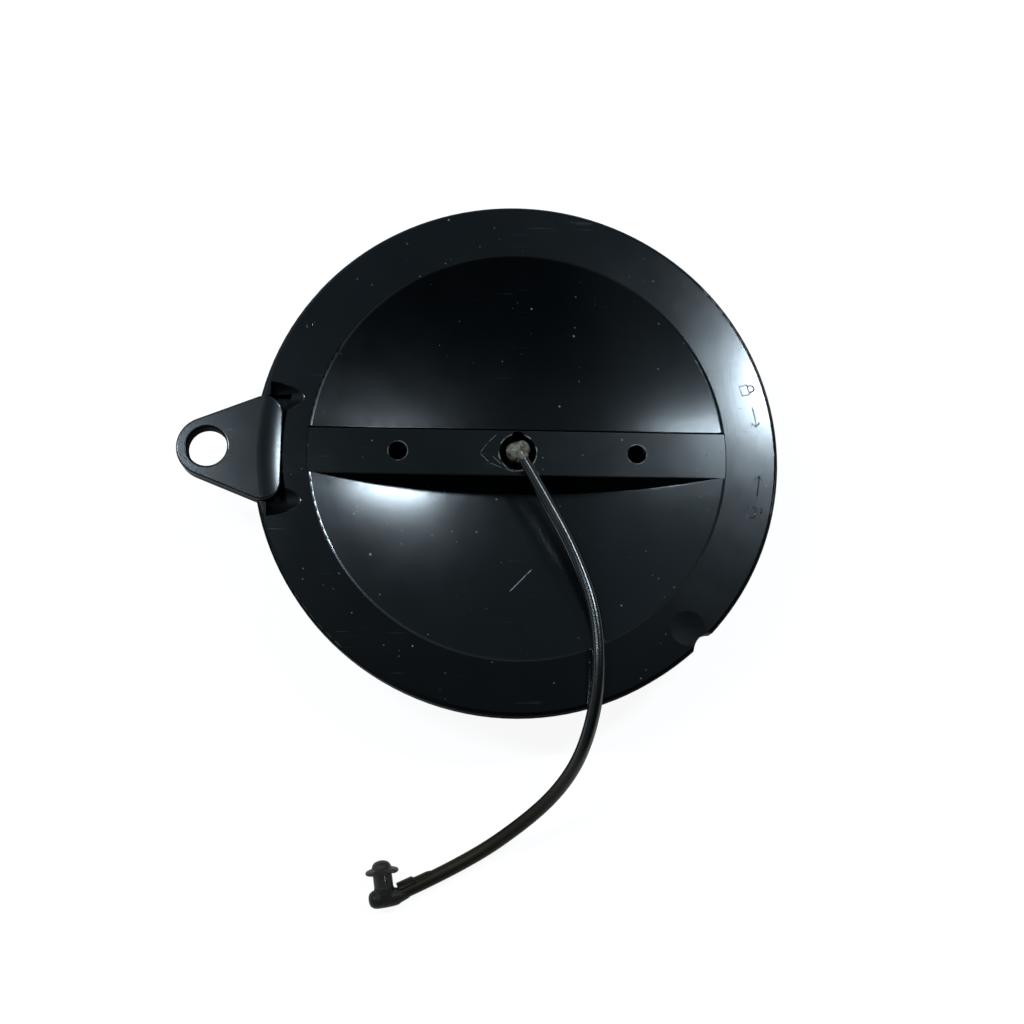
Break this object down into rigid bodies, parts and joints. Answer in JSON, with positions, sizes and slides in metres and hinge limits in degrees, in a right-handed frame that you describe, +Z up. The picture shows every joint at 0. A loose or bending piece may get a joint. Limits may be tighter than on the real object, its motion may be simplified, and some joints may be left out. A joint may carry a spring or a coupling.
{
  "type": "hose carrier end cap",
  "caption": "Round black twist-lock end cap of a hose carrier tube: finger bowl with a grip bar across it, padlock lug at the rim, bayonet skirt below and a rubber tether with a snap stud.",
  "frame": {"origin": "on the cap's axis, in the plane of the skirt's lower edge, which the cap stands on", "axes": "+Z up out of the cap's face, X along the grip bar with the padlock lug at -X, -Y towards the viewer"},
  "size_m": [0.1943, 0.2286, 0.0401],
  "materials": {
    "cap_plastic": "satin black moulding",
    "bowl_plastic": "gloss black moulding",
    "lug_plastic": "satin black moulding",
    "ball_rubber": "worn matt rubber",
    "cord_rubber": "satin rubber",
    "elbow_rubber": "dusty matt rubber",
    "stud_plastic": "dull brown plastic"
  },
  "bodies": {
    "cap": {"outer_ring": "cap_plastic", "grip_bowl": "bowl_plastic", "locking_lug": "lug_plastic"},
    "tether": {"swivel_elbow": "ball_rubber", "swivel_stud": "stud_plastic", "tether_cord": "cord_rubber", "tube_end_elbow": "elbow_rubber", "tube_end_stud": "stud_plastic", "tube_end_sleeve": "cord_rubber"}
  },
  "joints": [
    {"name": "tether_swivel", "type": "hinge", "parent": "cap", "child": "tether", "pos_m": [0, 0, 0.0283], "axis": [0, 0, 1], "range_deg": [-90, 235]}
  ]
}
